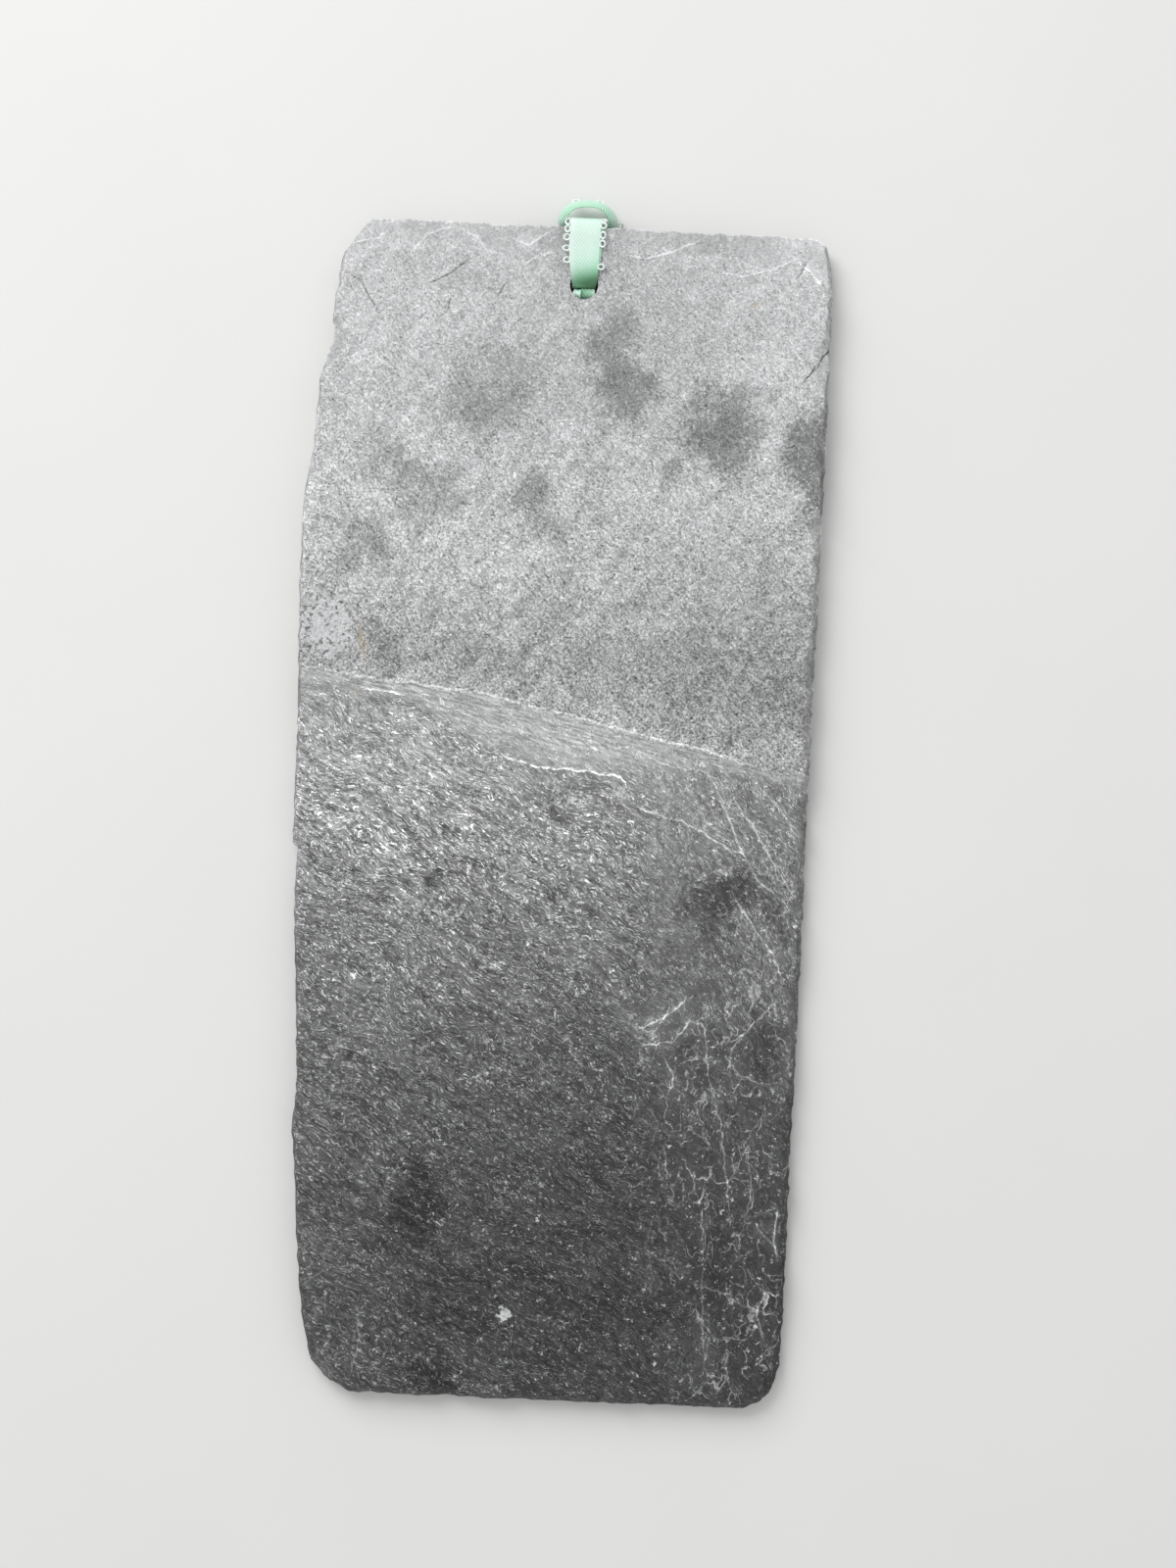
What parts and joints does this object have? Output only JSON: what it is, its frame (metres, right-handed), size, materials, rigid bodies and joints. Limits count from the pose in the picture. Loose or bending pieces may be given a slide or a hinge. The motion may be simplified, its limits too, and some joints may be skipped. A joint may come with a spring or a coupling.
{
  "type": "slate roof tile",
  "caption": "Small riven roof slate with hand-dressed edges, a drilled hole near its head and a picot ribbon hitched through the hole.",
  "frame": {"origin": "on the underside, halfway along the slate, below the line that the hole's centre lies on", "axes": "+Y towards the head edge with the hole, +X to the right as the face is looked at, +Z out of the face"},
  "size_m": [0.1113, 0.2554, 0.0071],
  "materials": {
    "slate": "riven, matt",
    "ribbon": "satin woven"
  },
  "bodies": {
    "root": {"slate_tile": "slate", "hanging_ribbon": "ribbon"}
  },
  "joints": []
}
